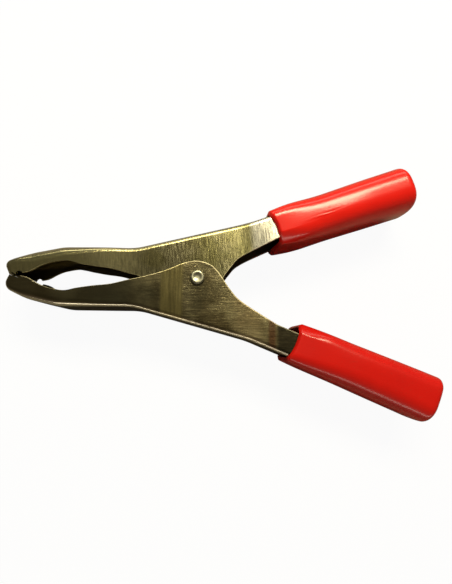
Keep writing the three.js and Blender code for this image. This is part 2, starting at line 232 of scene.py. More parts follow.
scene.world = studio_sky()
soft_box("back soft box", 8, 35, 0.50, (0.34, 0.15), 3.2, (1.0, 0.90, 0.62))
soft_box("back strip", 0, 72, 0.45, (0.60, 0.08), 0.42, (1.0, 0.94, 0.76))
soft_box("front strip", 0, -80, 0.45, (0.60, 0.06), 0.38, (1.0, 0.92, 0.80))


def pale_floor():
    mesh = bpy.data.meshes.new("pale_floor")
    corners = [(x * FLOOR_REACH, y * FLOOR_REACH, 0) for x, y in ((-1, -1), (1, -1), (1, 1), (-1, 1))]
    mesh.from_pydata(corners, [], [(0, 1, 2, 3)])
    floor = bpy.data.objects.new("pale_floor", mesh)
    scene.collection.objects.link(floor)
    paper = bpy.data.materials.new("pale paper")
    paper.use_nodes = True
    tree = paper.node_tree
    tree.nodes.clear()
    lit = add_node(tree, "ShaderNodeBsdfDiffuse", {"Color": LIT_PAPER})
    glow = add_node(tree, "ShaderNodeEmission", {"Color": BACKDROP})
    shown = add_node(tree, "ShaderNodeMixShader", {0: PAPER_GLOW, 1: lit.outputs[0], 2: glow.outputs[0]})
    dim = add_node(tree, "ShaderNodeBsdfDiffuse", {"Color": DIM_PAPER})
    mirrored = add_node(tree, "ShaderNodeBsdfDiffuse", {"Color": MIRRORED_PAPER})
    path = add_node(tree, "ShaderNodeLightPath")
    bounced = add_node(tree, "ShaderNodeMixShader", {0: path.outputs["Is Glossy Ray"],
                                                     1: dim.outputs[0], 2: mirrored.outputs[0]})
    mixed = add_node(tree, "ShaderNodeMixShader", {0: path.outputs["Is Camera Ray"],
                                                   1: bounced.outputs[0], 2: shown.outputs[0]})
    output = add_node(tree, "ShaderNodeOutputMaterial")
    tree.links.new(mixed.outputs[0], output.inputs["Surface"])
    mesh.materials.append(paper)
    return floor


floor = pale_floor()

# %% [markdown]
# ## Shared effects
#
# Three effects turn up on several pieces, so each is a node group, built once. *Brushed
# grain* stretches noise along one direction, as a belt leaves on sheet steel. *Film* is the
# uneven tarnish and handling marks on plated metal. *Soft dimples* is the faint waviness of
# a dipped vinyl skin. Each puts out only a value, and each finish sets its own scale.

# %% Shader node groups
def new_group(name, inputs, outputs):
    """A shader group with typed inputs {name: (type, default)} and float outputs."""
    group = bpy.data.node_groups.new(name, "ShaderNodeTree")
    for title, (kind, default) in inputs.items():
        socket = group.interface.new_socket(title, in_out="INPUT", socket_type=kind)
        if default is not None:
            socket.default_value = default
    for title in outputs:
        group.interface.new_socket(title, in_out="OUTPUT", socket_type="NodeSocketFloat")
    return group, group.nodes.new("NodeGroupInput"), group.nodes.new("NodeGroupOutput")


def noise(tree, vector, scale, detail, roughness=0.55):
    node = add_node(tree, "ShaderNodeTexNoise",
                    {"Vector": vector, "Scale": scale, "Detail": detail, "Roughness": roughness})
    return node.outputs["Fac"]


def make_brushed_grain():
    """Streaks that are short across the brushing and long along it, in millimetres."""
    group, given, out = new_group("brushed grain", {
        "Place": ("NodeSocketVector", None),
        "Across": ("NodeSocketFloat", 1.0),
        "Along": ("NodeSocketFloat", 0.05),
    }, ["Fine", "Broad"])
    parts = add_node(group, "ShaderNodeSeparateXYZ", {0: given.outputs["Place"]})
    across = times(group, parts.outputs["X"], given.outputs["Across"])
    along = times(group, parts.outputs["Y"], given.outputs["Along"])
    stretched = add_node(group, "ShaderNodeCombineXYZ", {0: across, 1: along}).outputs[0]
    group.links.new(noise(group, stretched, 2.4, 2.0, 0.7), out.inputs["Fine"])
    group.links.new(noise(group, stretched, 0.9, 1.0), out.inputs["Broad"])
    return group


def make_film():
    """Cloudy tarnish, and the sharper specks and rubs inside it."""
    group, given, out = new_group("film", {
        "Place": ("NodeSocketVector", None),
        "Size": ("NodeSocketFloat", 60.0),
    }, ["Cloud", "Speck"])
    size = given.outputs["Size"]
    cloud = noise(group, given.outputs["Place"], size, 3.0)
    speck = noise(group, given.outputs["Place"], times(group, size, 12.0), 2.0)
    group.links.new(between(group, cloud, 0.40, 0.62), out.inputs["Cloud"])
    group.links.new(between(group, speck, 0.58, 0.75), out.inputs["Speck"])
    return group


def make_soft_dimples():
    """A slow swell and a fine orange-peel, added into one height."""
    group, given, out = new_group("soft dimples", {
        "Place": ("NodeSocketVector", None),
        "Swell": ("NodeSocketFloat", 120.0),
        "Peel": ("NodeSocketFloat", 900.0),
    }, ["Height"])
    swell = noise(group, given.outputs["Place"], given.outputs["Swell"], 1.0)
    peel = noise(group, given.outputs["Place"], given.outputs["Peel"], 2.0)
    height = plus(group, swell, times(group, peel, 0.06))
    group.links.new(height, out.inputs["Height"])
    return group


brushed_grain = make_brushed_grain()
film = make_film()
soft_dimples = make_soft_dimples()
print("groups:", [g.name for g in (brushed_grain, film, soft_dimples)])


def use_group(tree, group, **values):
    return add_node(tree, "ShaderNodeGroup", {k.capitalize(): v for k, v in values.items()},
                    node_tree=group)

# %% [markdown]
# ## The arms' steel
#
# Both arms are belt-brushed sheet under a thin straw-olive plating. The grain has a
# direction, so the finish follows the piece's own UV map, whose first number runs along the
# arm and whose second runs across it and on round the bend, both in millimetres from the
# rivet. The sheared edge is paler. The outside of the bend is painted pale as a painted
# highlight, and the unbrushed inside of the channel is painted much darker as painted shade.
# Three attributes of the mesh, `cut_edge`, `inside` and one for the bend's painted highlight,
# say where those are. Patches along the arm change its colour: paler stretches on the upper
# jaw, a darker one and a golden one brushed upright in front of the lower rivet, a painted
# highlight just before each sleeve's mouth, painted shade round the lower nose, and a
# painted reddish reflection and painted shade at the lower sleeve's mouth.

# %% Arm steel
UPRIGHT_PATCH = (-13.1, -5.3)               # brushed upright, in front of the rivet
# painted shade: the colour that darkens the inside of the channel
SHADED_INSIDE = rgb(0.15, 0.125, 0.07)
# pale steel for the sheared edge, and a painted highlight on the outside of the bend
BARE_STEEL_AND_SHEEN = rgb(0.95, 0.89, 0.70)


def start_material(name):
    material = bpy.data.materials.new(name)
    material.use_nodes = True
    tree = material.node_tree
    return material, tree, tree.nodes["Principled BSDF"]


def attribute(tree, name):
    return add_node(tree, "ShaderNodeAttribute", attribute_name=name).outputs["Fac"]


def set_bump(tree, shader, height, depth, strength=1.0):
    """Depth is the height of the relief, in metres."""
    bump = add_node(tree, "ShaderNodeBump",
                    {"Height": height, "Distance": depth, "Strength": strength})
    tree.links.new(bump.outputs[0], shader.inputs["Normal"])


def stretch(tree, along, start, end, soft):
    """1 between start and end along the arm, in millimetres, and 0 elsewhere."""
    entering = between(tree, along, start - soft, start + soft)
    leaving = between(tree, along, end - soft, end + soft, 1.0, 0.0)
    return times(tree, entering, leaving)


def arm_steel(name, dark, light, cloud_tint, stain, gloss, grain_at, patches=()):
    """Gloss is the roughness at the jaw and at the handle. grain_at makes the streaks, and
    patches are (start, end, colour, strength, softness of the ends), in mm along the arm."""
    material, tree, shader = start_material(name)
    place = add_node(tree, "ShaderNodeUVMap", uv_map="sheet_mm").outputs[0]
    along = add_node(tree, "ShaderNodeSeparateXYZ", {0: place}).outputs["X"]
    streak, relief = grain_at(tree, place, along)
    at = add_node(tree, "ShaderNodeTexCoord").outputs["Object"]
    clouds = use_group(tree, film, size=85.0, place=at)
    wide_clouds = use_group(tree, film, size=38.0, place=at)
    colour = mix_colour(tree, streak, dark, light)
    colour = mix_colour(tree, times(tree, clouds.outputs["Cloud"], 0.7), colour, cloud_tint)
    colour = mix_colour(tree, times(tree, wide_clouds.outputs["Cloud"], 0.55), colour, stain)
    for start, end, tint, strength, soft in patches:
        shown = times(tree, stretch(tree, along, start, end, soft), strength)
        brushed = mix_colour(tree, streak, darker(tint, 0.6), tint)
        colour = mix_colour(tree, shown, colour, brushed)
    inside = attribute(tree, "inside")
    cut_edge = attribute(tree, "cut_edge")
    # painted shade: the inside of the channel is coloured dark
    colour = mix_colour(tree, inside, colour, SHADED_INSIDE)
    # the sheared edge is paler, and the bend's outside is painted pale as a painted highlight
    edge_and_sheen = maths(tree, "MAXIMUM", times(tree, cut_edge, 0.2), attribute(tree, "bend_sheen"))
    colour = mix_colour(tree, edge_and_sheen, colour, BARE_STEEL_AND_SHEEN)
    tree.links.new(colour, shader.inputs["Base Color"])
    rough = between(tree, along, -8.0, 28.0, *gloss)
    for effect, amount in ((maths(tree, "SUBTRACT", streak, 0.5), 0.08),
                           (clouds.outputs["Speck"], 0.02), (inside, 0.30), (cut_edge, 0.25)):
        rough = plus(tree, rough, times(tree, effect, amount))
    tree.links.new(rough, shader.inputs["Roughness"])
    shader.inputs["Metallic"].default_value = 1.0
    set_bump(tree, shader, relief, 0.022 * MM)
    return material


def streaks(tree, place, across, along, fine=0.5):
    """One run of brushing: its fine and broad streaks, evened into 0 to 1."""
    grain = use_group(tree, brushed_grain, place=place, across=across, along=along)
    both = plus(tree, times(tree, grain.outputs["Fine"], fine),
                times(tree, grain.outputs["Broad"], 1 - fine))
    return between(tree, both, 0.34, 0.66, smooth=False)


def weaken(tree, marks, strength):
    """The marks drawn towards their middle, for the colour, and scaled down, for the relief."""
    faint = plus(tree, times(tree, maths(tree, "SUBTRACT", marks, 0.5), strength), 0.5)
    return faint, times(tree, marks, strength)


def across_the_arm(tree, place, along):
    """The upper arm is brushed across, and the marks deepen towards the handle."""
    marks = streaks(tree, place, 1.3, 0.08, 0.85)
    return weaken(tree, marks, between(tree, along, -45.0, 12.0, 0.45, 1.15))


def crossed_grain(tree, place, along):
    """The lower arm is brushed along, but for one upright patch in front of the rivet."""
    lengthways = streaks(tree, place, 0.10, 1.5, 0.65)
    upright = streaks(tree, place, 1.4, 0.05)
    patch = stretch(tree, along, *UPRIGHT_PATCH, 0.5)
    marks = plus(tree, times(tree, upright, patch),
                 times(tree, lengthways, maths(tree, "SUBTRACT", 1.0, patch)))
    return weaken(tree, marks, between(tree, along, -30.0, -5.0, 0.25, 0.75))


upper_steel = arm_steel("upper arm steel", rgb(0.20, 0.175, 0.075), rgb(0.50, 0.46, 0.28),
                        rgb(0.22, 0.195, 0.075), rgb(0.26, 0.25, 0.10), (0.20, 0.285), across_the_arm,
                        patches=[(-90.0, -24.0, rgb(0.74, 0.67, 0.34), 0.75, 8.0),
                                 (-38.0, -24.0, rgb(0.95, 0.86, 0.48), 0.50, 5.0),
                                 # painted highlight: the pale stretch just before the upper sleeve's
                                 # mouth
                                 (21.5, 50.0, rgb(0.98, 0.95, 0.84), 0.8, 1.5)])
lower_steel = arm_steel("lower arm steel", rgb(0.17, 0.14, 0.06), rgb(0.72, 0.63, 0.36),
                        rgb(0.12, 0.085, 0.035), rgb(0.13, 0.13, 0.08), (0.21, 0.31), crossed_grain,
                        # painted shade: the darker stretch round the lower arm's nose
                        patches=[(-90.0, -50.0, rgb(0.20, 0.16, 0.08), 0.6, 6.0),
                                 (-36.0, -22.0, rgb(0.17, 0.16, 0.10), 0.6, 5.0),
                                 (*UPRIGHT_PATCH, rgb(0.66, 0.56, 0.22), 0.7, 0.8),
                                 # painted highlight: the pale golden stretch ahead of the lower sleeve's
                                 # mouth
                                 (14.0, 23.5, rgb(0.66, 0.52, 0.28), 0.45, 3.0),
                                 # painted reflection: a reddish band just before the lower sleeve's mouth
                                 (25.8, 28.3, rgb(0.20, 0.09, 0.045), 0.75, 0.8),
                                 # painted shade: the dark stretch at and under the lower sleeve's mouth
                                 (29.0, 50.0, rgb(0.075, 0.065, 0.04), 0.9, 0.8)])
print("arm finishes:", upper_steel.name, "and", lower_steel.name)

# %% [markdown]
# ## Plain metals
#
# The rivet, bush, spring, washer and screw are small, so one function makes their finishes
# from a bright and a dull colour. The film group clouds them, and a light relief keeps their
# highlights from looking machined-perfect.

# %% Small metals
def small_metal(name, bright, dull, roughness, relief=0.02):
    material, tree, shader = start_material(name)
    place = add_node(tree, "ShaderNodeTexCoord").outputs["Object"]
    marks = use_group(tree, film, place=place, size=260.0)
    colour = mix_colour(tree, marks.outputs["Cloud"], bright, dull)
    colour = mix_colour(tree, times(tree, marks.outputs["Speck"], 0.5), colour, darker(dull, 0.4))
    tree.links.new(colour, shader.inputs["Base Color"])
    rough = between(tree, marks.outputs["Cloud"], 0.0, 1.0, roughness - 0.06, roughness + 0.08)
    tree.links.new(rough, shader.inputs["Roughness"])
    shader.inputs["Metallic"].default_value = 1.0
    set_bump(tree, shader, noise(tree, place, 1400.0, 2.0), relief * MM)
    return material


rivet_plate = small_metal("rivet plating", rgb(0.40, 0.395, 0.31), rgb(0.28, 0.275, 0.21), 0.42, 0.03)
spring_wire = small_metal("spring wire", rgb(0.33, 0.32, 0.29), rgb(0.20, 0.18, 0.15), 0.32)
brass = small_metal("brass", rgb(0.62, 0.45, 0.19), rgb(0.42, 0.29, 0.11), 0.28)

# %% [markdown]
# ## Red vinyl
#
# The sleeves are soft dipped vinyl: one strong red, glossy, with a skin that swells and
# dimples a little where it is stretched over the channel. A clear coat over a rougher base
# gives the sharp glint on top of a soft glow. Handling leaves the gloss slightly uneven.

# %% Sleeve vinyl
def red_vinyl(name, red, deep, gloss, coat):
    material, tree, shader = start_material(name)
    place = add_node(tree, "ShaderNodeTexCoord").outputs["Object"]
    skin = use_group(tree, soft_dimples, place=place, swell=95.0, peel=700.0)
    handled = noise(tree, place, 60.0, 3.0)
    specks = use_group(tree, film, place=place, size=70.0).outputs["Speck"]
    colour = mix_colour(tree, between(tree, handled, 0.25, 0.75, smooth=False), red, deep)
    colour = mix_colour(tree, times(tree, specks, 0.10), colour, rgb(0.30, 0.05, 0.03))
    tree.links.new(colour, shader.inputs["Base Color"])
    rough = between(tree, handled, 0.2, 0.8, gloss - 0.04, gloss + 0.06, smooth=False)
    tree.links.new(rough, shader.inputs["Roughness"])
    shader.inputs["Coat Weight"].default_value = coat
    shader.inputs["Coat Roughness"].default_value = 0.20
    shader.inputs["IOR"].default_value = 1.22
    shader.inputs["Coat IOR"].default_value = 1.5
    set_bump(tree, shader, skin.outputs["Height"], 0.22 * MM)
    return material


# Both sleeves are one vinyl: the upper red is set lighter than the lower, as painted light that makes up
# for the upper sleeve getting less light.
upper_vinyl = red_vinyl("upper sleeve vinyl", rgb(0.80, 0.013, 0.006),
                        rgb(0.70, 0.009, 0.005), 0.30, 1.0)
lower_vinyl = red_vinyl("lower sleeve vinyl", rgb(0.63, 0.009, 0.0045),
                        rgb(0.55, 0.007, 0.004), 0.34, 0.7)
print("vinyl finishes:", upper_vinyl.name, "and", lower_vinyl.name)

# %% [markdown]
# ## Outlines
#
# Each arm is drawn on the flat first, about the rivet, as if it were the upper arm. The back
# is a chain of straight runs joined by arcs. The free edge of the cheek is one spline: the
# gripping lobe, the hollow that takes a cable or a terminal post, the ear round the rivet
# and the run up to the handle. We keep both as dense polylines and ask for points by their
# share of the length.

# %% Outline helpers
def rounded_path(corners, steps=24):
    """Corners are (x, y, radius); the first and last have no radius."""
    line = [Vector(corners[0][:2])]
    for before, corner, after in zip(corners, corners[1:], corners[2:]):
        here, radius = Vector(corner[:2]), corner[2]
        towards_last = (Vector(before[:2]) - here).normalized()
        towards_next = (Vector(after[:2]) - here).normalized()
        half = towards_last.angle(towards_next) / 2
        start = here + towards_last * radius / math.tan(half)
        centre = here + (towards_last + towards_next).normalized() * radius / math.sin(half)
        clockwise = towards_last.cross(towards_next) > 0
        sweep = (math.pi - 2 * half) * (-1 if clockwise else 1)
        for i in range(steps + 1):
            line.append(centre + Matrix.Rotation(sweep * i / steps, 2) @ (start - centre))
    line.append(Vector(corners[-1][:2]))
    return line


def spline_path(points, steps=16):
    """A smooth curve through all the points."""
    line = [points[0]]
    for i in range(len(points) - 1):
        a, b = points[max(i - 1, 0)], points[i]
        c, d = points[i + 1], points[min(i + 2, len(points) - 1)]
        for j in range(1, steps + 1):
            t = j / steps
            line.append(b + (c - a) * (t / 2) + (2 * a - 5 * b + 4 * c - d) * (t * t / 2)
                        + (3 * b - a - 3 * c + d) * (t ** 3 / 2))
    return line


def points_along(line, shares):
    """The points at these rising shares of a polyline's length, and the length."""
    marks = [0.0]
    for a, b in zip(line, line[1:]):
        marks.append(marks[-1] + (b - a).length)
    found = []
    i = 0
    for share in shares:
        goal = share * marks[-1]
        while i < len(line) - 2 and marks[i + 1] < goal:
            i += 1
        found.append(line[i].lerp(line[i + 1], (goal - marks[i]) / (marks[i + 1] - marks[i])))
    return found, marks[-1]


def smoothstep(x, low, high):
    t = min(1.0, max(0.0, (x - low) / (high - low)))
    return t * t * (3 - 2 * t)


def lerp(a, b, t):
    return a + (b - a) * t

# %% [markdown]
# ## Two arms, one description
#
# The arms differ in a few numbers only: which side of the rivet their back is on, where the
# nose and the knee are, how steep the handle is and where its sleeve starts. The lower arm
# is the wide one, and its cheeks hold the upper arm's cheeks between them.

# %% Arm sizes
SHEET = 1.2
GAP = 0.3                       # between pieces that would otherwise touch
CHEEK_DEPTH = 9.0
ARM_IN_SLEEVE = 44.0
MEETING = 0.15                  # each nose stops this far from the line where the jaws meet
arm_low, arm_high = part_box("lower_jaw_arm")
LOWER_HALF = (arm_high.z - arm_low.z) / 2 / MM
UPPER_HALF = LOWER_HALF - SHEET - GAP
rivet_low, rivet_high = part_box("pivot_rivet")
RIVET_HEAD = (rivet_high.x - rivet_low.x) / 2 / MM
RIVET_HALF = (rivet_high.z - rivet_low.z) / 2 / MM
RIVET_HOLE = 2.2
NOTCH_RADIUS = 1.25
NOTCH_PLACE = (-63.6, 0.1)
FLARE = (14, 27)                # where the upper arm spreads to the lower arm's width


class Arm:
    """One arm's flat drawing. side is 1 for the upper arm and -1 for the lower."""

    def __init__(self, side, nose, knee, degrees, mouth, tip_round, nose_round, grain):
        self.side, self.nose, self.knee, self.mouth = side, nose, Vector(knee), mouth
        self.tip_round, self.nose_round = tip_round, nose_round
        self.grain = math.radians(grain)
        self.angle = math.radians(degrees)
        self.direction = Vector((math.cos(self.angle), math.sin(self.angle)))
        self.inward = Vector((self.direction.y, -self.direction.x))

    def handle(self, distance, depth):
        return self.knee + self.direction * distance + self.inward * depth

    def half_width(self, x):
        if self.side < 0:
            return LOWER_HALF
        return lerp(UPPER_HALF, LOWER_HALF, smoothstep(x, *FLARE))

    def bend(self, share):
        """Outside radius of the bend: large round the nose, tight along the rest."""
        swell = smoothstep(share, 0.045, 0.1) * (1 - smoothstep(share, 0.14, 0.3))
        return 1.7 + self.nose_round * swell

    def back_line(self):
        tail = self.handle(self.mouth + ARM_IN_SLEEVE, 0)
        nose_x, nose_y = self.nose
        return rounded_path([
            (nose_x + 2, MEETING), (nose_x, nose_y, self.tip_round), (-60.5, 8.7, 20), (-49.5, 11.1, 20),
            (-23, 10.85, 24), (self.knee.x, self.knee.y, 40), tail[:],
        ])

    def edge_line(self):
        ear = [(-65, MEETING), (-62.3, 0.6), (-59.6, 1.35), (-56.5, 3.15), (-53, 4.55),
               (-47.3, 5.5), (-42.5, 4.5), (-37, 3.6), (-31, 2.85), (-25, 1.3), (-17, -0.7),
               (-10.5, -2.9), (-5, -5.3), (0, -6.15), (4.6, -4.9), (8, -1.6), (12, 4.2),
               (16.5, 8.7)]
        line = spline_path([Vector(p) for p in ear] + [self.handle(7, CHEEK_DEPTH)])
        return line + [self.handle(self.mouth + ARM_IN_SLEEVE, CHEEK_DEPTH)]


lower = Arm(-1, (-68.9, 4.6), (19, 22.1), 22, 14.5, tip_round=3.2, nose_round=1.2, grain=0)
upper = Arm(1, (-69.6, 4.5), (21, 22.2), 19.6, 5.8, tip_round=2.2, nose_round=2.5, grain=6)
print("channel widths, mm:", round(2 * LOWER_HALF, 2), round(2 * UPPER_HALF, 2))

# %% [markdown]
# ## From rings to a skin
#
# Most pieces here are lofts: rings of equal point count, joined by quads. The ring can carry
# more than places, so each row holds a UV pair and named marks, such as how near a point is
# to the sheared edge. A closed skin is turned to face outwards by the sign of its volume.

# %% Skins
def to_world(point, height=0.0):
    """A point of the flat drawing, in millimetres about the rivet, as a place in metres."""
    return PIVOT + Vector((point[0], point[1], height)) * MM


def finish_mesh(name, bm, material, sharp=50.0):
    """Turns the skin outwards and makes a smooth-shaded object of it."""
    if bm.calc_volume(signed=True) < 0:
        bmesh.ops.reverse_faces(bm, faces=bm.faces[:])
    mesh = bpy.data.meshes.new(name)
    bm.to_mesh(mesh)
    bm.free()
    mesh.shade_smooth()
    mesh.set_sharp_from_angle(angle=math.radians(sharp))
    mesh.materials.append(material)
    piece = bpy.data.objects.new(name, mesh)
    scene.collection.objects.link(piece)
    return piece


def loft(rings, join_ends=False, caps=None, marks=None, uv=None):
    """A bmesh over the rings. marks is {name: values for each ring}, uv the same with pairs."""
    bm = bmesh.new()
    layers = {name: bm.verts.layers.float.new(name) for name in marks or {}}
    uv_layer = bm.loops.layers.uv.new("sheet_mm") if uv else None
    count = len(rings[0])
    rows = [[bm.verts.new(p) for p in ring] for ring in rings]
    for i in range(len(rows) if join_ends else len(rows) - 1):
        row, after = rows[i], rows[(i + 1) % len(rows)]
        for j in range(count):
            k = (j + 1) % count
            bm.faces.new((row[j], row[k], after[k], after[j]))
    if caps:
        caps(bm, rows[0])
        caps(bm, rows[-1])
    for name, values in (marks or {}).items():
        for row, numbers in zip(rows, values):
            for vert, number in zip(row, numbers):
                vert[layers[name]] = number
    if uv:
        pairs = {v: p for row, line in zip(rows, uv) for v, p in zip(row, line)}
        for face in bm.faces:
            for corner in face.loops:
                corner[uv_layer].uv = pairs[corner.vert]
    bmesh.ops.recalc_face_normals(bm, faces=bm.faces[:])
    return bm


def strip_cap(bm, row):
    """Closes the end of a U-shaped ring, pairing each outer point with the one inside it."""
    last = len(row) - 1
    for j in range(len(row) // 2 - 1):
        bm.faces.new((row[j], row[j + 1], row[last - j - 1], row[last - j]))


def cut_with(piece, cutters, operation="DIFFERENCE"):
    """Cuts closed tools out of a piece, or joins them on, and removes the tools."""
    for cutter in cutters:
        step = piece.modifiers.new("cut", "BOOLEAN")
        step.operation = operation
        step.solver = "EXACT"
        step.object = cutter
    evaluated = piece.evaluated_get(bpy.context.evaluated_depsgraph_get())
    mesh = bpy.data.meshes.new_from_object(evaluated)
    piece.modifiers.clear()
    mesh.name = piece.name
    mesh.set_sharp_from_angle(angle=math.radians(45))
    piece.data = mesh
    for cutter in cutters:
        bpy.data.objects.remove(cutter)
    return piece

# %% [markdown]
# ## Turned pieces
#
# The rivet, the bush and the screw are round, so each is a profile turned about an axis.
# Points on the axis become a single vertex, which closes the pole.

# %% Lathe
def lathe(name, profile, material, place, sides=72, closed=False):
    """Profile rows are (radius, height) in millimetres; place is a matrix in metres."""
    bm = bmesh.new()
    rows = []
    for radius, height in profile:
        if radius < 1e-6:
            rows.append([bm.verts.new((0, 0, height * MM))])
            continue
        turn = [2 * math.pi * j / sides for j in range(sides)]
        rows.append([bm.verts.new((radius * MM * math.cos(a), radius * MM * math.sin(a), height * MM))
                     for a in turn])
    pairs = list(zip(rows, rows[1:])) + ([(rows[-1], rows[0])] if closed else [])
    for row, after in pairs:
        for j in range(sides):
            k = (j + 1) % sides
            ring = [row[j % len(row)], row[k % len(row)], after[k % len(after)], after[j % len(after)]]
            bm.faces.new(list(dict.fromkeys(ring)))
    bmesh.ops.recalc_face_normals(bm, faces=bm.faces[:])
    bmesh.ops.transform(bm, matrix=place, verts=bm.verts[:])
    return finish_mesh(name, bm, material)


def drill(radius, low, high, material, place, sides=72):
    """A solid rod, to cut a round hole with."""
    return lathe("drill", [(0, low), (radius, low), (radius, high), (0, high)], material, place, sides)


def round_corners(profile, radius, steps=4):
    """Softens each inner corner of a (radius, height) profile by the same small radius."""
    corners = [profile[0]] + [(r, z, radius) for r, z in profile[1:-1]] + [profile[-1]]
    return [tuple(p) for p in rounded_path(corners, steps)]

# %% [markdown]
# ## Pressing the arms
#
# Blanking and bending leave clear signs on real sheet: the sheared edge has a small radius,
# the bend is round outside and tight inside, and the sheet keeps one thickness everywhere.
# Each ring runs from the sheared edge of one cheek, over the bend, across the web and down
# the other cheek, then back along the inside. Extra rows close to each corner keep the flat
# faces flat when they are shaded smooth.

# %% Arm rings
EDGE_ROUND = 0.18
# how pale the outside of the bend is painted, a painted highlight
BEND_SHEEN = 0.8
TIP_STEPS, CHEEK_STEPS, BEND_STEPS, WEB_STEPS = 4, 9, 8, 4
ARM_STATIONS = 260


def half_ring(back_point, inward, edge_point, half, bend):
    """Half a ring, edge to mid web: rows of (flat point, height, wrap, cut, inside, sheen).

    Wrap is how far the sheet has gone round the bend, in millimetres. Sheen is how pale
    the outside of the bend is painted, a painted highlight."""
    down = back_point + inward * bend - edge_point
    reach = down.length
    down.normalize()
    outer, inner = [], []
    for k in range(TIP_STEPS + 1):
        a = k / TIP_STEPS * math.pi / 2
        place = edge_point + down * EDGE_ROUND * (1 - math.cos(a))
        rise = EDGE_ROUND * (1 - math.sin(a))
        outer.append((place, half - rise, 0.0, 1.0, 0.0, 0.0))
        inner.append((place, half - SHEET + rise, 0.0, 1.0, 0.3, 0.0))
    near = min(0.3, reach * 0.1)
    run = reach - 2 * near - EDGE_ROUND
    for k in range(CHEEK_STEPS + 1):
        place = edge_point + down * (EDGE_ROUND + near + run * k / CHEEK_STEPS)
        outer.append((place, half, 0.0, 0.0, 0.0, 0.0))
        inner.append((place, half - SHEET, 0.0, 0.0, 1.0, 0.0))
    for k in range(BEND_STEPS + 1):
        turn = k / BEND_STEPS * math.pi / 2
        for rows, radius, inside in ((outer, bend, 0.0), (inner, bend - SHEET, 1.0)):
            place = back_point + inward * (bend - radius * math.sin(turn))
            # painted highlight: the outer half of the bend is coloured pale
            sheen = BEND_SHEEN * smoothstep(turn, 0.5, 0.9) * (1 - inside)
            rows.append((place, half - bend + radius * math.cos(turn), bend * turn, 0.0, inside, sheen))
    for k in range(1, WEB_STEPS + 1):
        height = (half - bend) * (1 - k / WEB_STEPS)
        wrap = bend * math.pi / 2 + half - bend - height
        # painted highlight: it runs on a little way down the web
        sheen = BEND_SHEEN * (1 - smoothstep(k / WEB_STEPS, 0.1, 0.3))
        outer.append((back_point, height, wrap, 0.0, 0.0, sheen))
        inner.append((back_point + inward * SHEET, height, wrap, 0.0, 1.0, 0.0))
    return outer, inner


def mirrored(rows):
    """The other half of a ring, from mid web back to the far cheek's edge."""
    return [(p, -z, 60 - wrap, *marks) for p, z, wrap, *marks in rows[-2::-1]]


def press_arm(name, arm, material):
    shares = [(i / ARM_STATIONS) ** 1.25 for i in range(ARM_STATIONS + 1)]
    backs, _ = points_along(arm.back_line(), shares)
    edges, _ = points_along(arm.edge_line(), shares)
    grain_way = Vector((math.cos(arm.grain), math.sin(arm.grain)))
    rings, cuts, insides, sheens, uvs = [], [], [], [], []
    for i, share in enumerate(shares):
        before, after = backs[max(i - 1, 0)], backs[min(i + 1, ARM_STATIONS)]
        tangent = (after - before).normalized()
        inward = Vector((tangent.y, -tangent.x))
        outer, inner = half_ring(backs[i], inward, edges[i], arm.half_width(backs[i].x),
                                 arm.bend(share))
        rows = outer + mirrored(outer) + (inner + mirrored(inner))[::-1]
        rings.append([to_world((p.x, arm.side * p.y), z) for p, z, *_ in rows])
        uvs.append([(p.dot(grain_way), grain_way.cross(p) + wrap) for p, _, wrap, *_ in rows])
        cuts.append([row[3] for row in rows])
        insides.append([row[4] for row in rows])
        sheens.append([row[5] for row in rows])
    # the bend's mark is a painted highlight on the outside of the bend
    marks = {"cut_edge": cuts, "inside": insides, "bend_sheen": sheens}
    bm = loft(rings, caps=strip_cap, marks=marks, uv=uvs)
    return finish_mesh(name, bm, material, sharp=60)


def cheek_drill(radius, x, y, side):
    return drill(radius, -20, 20, upper_steel, Matrix.Translation(to_world((x, side * y))), sides=64)


lower_arm = press_arm("lower_arm_pressing", lower, lower_steel)
upper_arm = press_arm("upper_arm_pressing", upper, upper_steel)
for piece, arm in ((lower_arm, lower), (upper_arm, upper)):
    cut_with(piece, [cheek_drill(RIVET_HOLE, 0, 0, arm.side),
                     cheek_drill(NOTCH_RADIUS, *NOTCH_PLACE, arm.side)])
    print(piece.name, "faces:", len(piece.data.polygons))

# %% [markdown]
# ## The cable terminal
#
# Inside the lower sleeve the handle's web carries a small tapped collar, and the lead's
# strands are clamped under a square plate, a split washer and a slotted screw. All of them
# stand on one axis, so one matrix places them: its Z points from the web into the channel
# and its X runs along the handle.

# %% Terminal place
SCREW_FROM_MOUTH = 33.0
SCREW_RADIUS = 2.0
COLLAR_TOP = 1.5
PLATE_LOW = 2.7
PLATE = 1.1
WASHER = 0.9
TAPPING = SCREW_RADIUS + GAP

foot = lower.handle(lower.mouth + SCREW_FROM_MOUTH, SHEET)
handle_way = Vector((lower.direction.x, -lower.direction.y, 0))
into_channel = Vector((lower.inward.x, -lower.inward.y, 0))
terminal = Matrix.Translation(to_world((foot.x, -foot.y))) @ Matrix(
    (handle_way, into_channel.cross(handle_way), into_channel)).transposed().to_4x4()
collar = lathe("collar_tool", round_corners(
    [(SCREW_RADIUS + 0.1, -0.5), (SCREW_RADIUS + 1.7, -0.5), (SCREW_RADIUS + 1.4, 0.2),
     (SCREW_RADIUS + 1.35, COLLAR_TOP), (SCREW_RADIUS + 0.1, COLLAR_TOP),
     (SCREW_RADIUS + 0.1, -0.5)], 0.15, 3)[:-1], lower_steel, terminal, closed=True)
cut_with(lower_arm, [collar], "UNION")
cut_with(lower_arm, [drill(TAPPING, -9, 9, lower_steel, terminal)])
print("terminal on the web, mm:", [round(x / MM, 1) for x in terminal.translation])

# %% [markdown]
# ## Rivet and bush
#
# A semi-tubular rivet has a low button head on one side. On the other the tube is rolled
# over, which leaves a raised rim round a shallow dimple. Between the cheeks it passes through
# a brass bush that keeps the spring's coil off the shank.

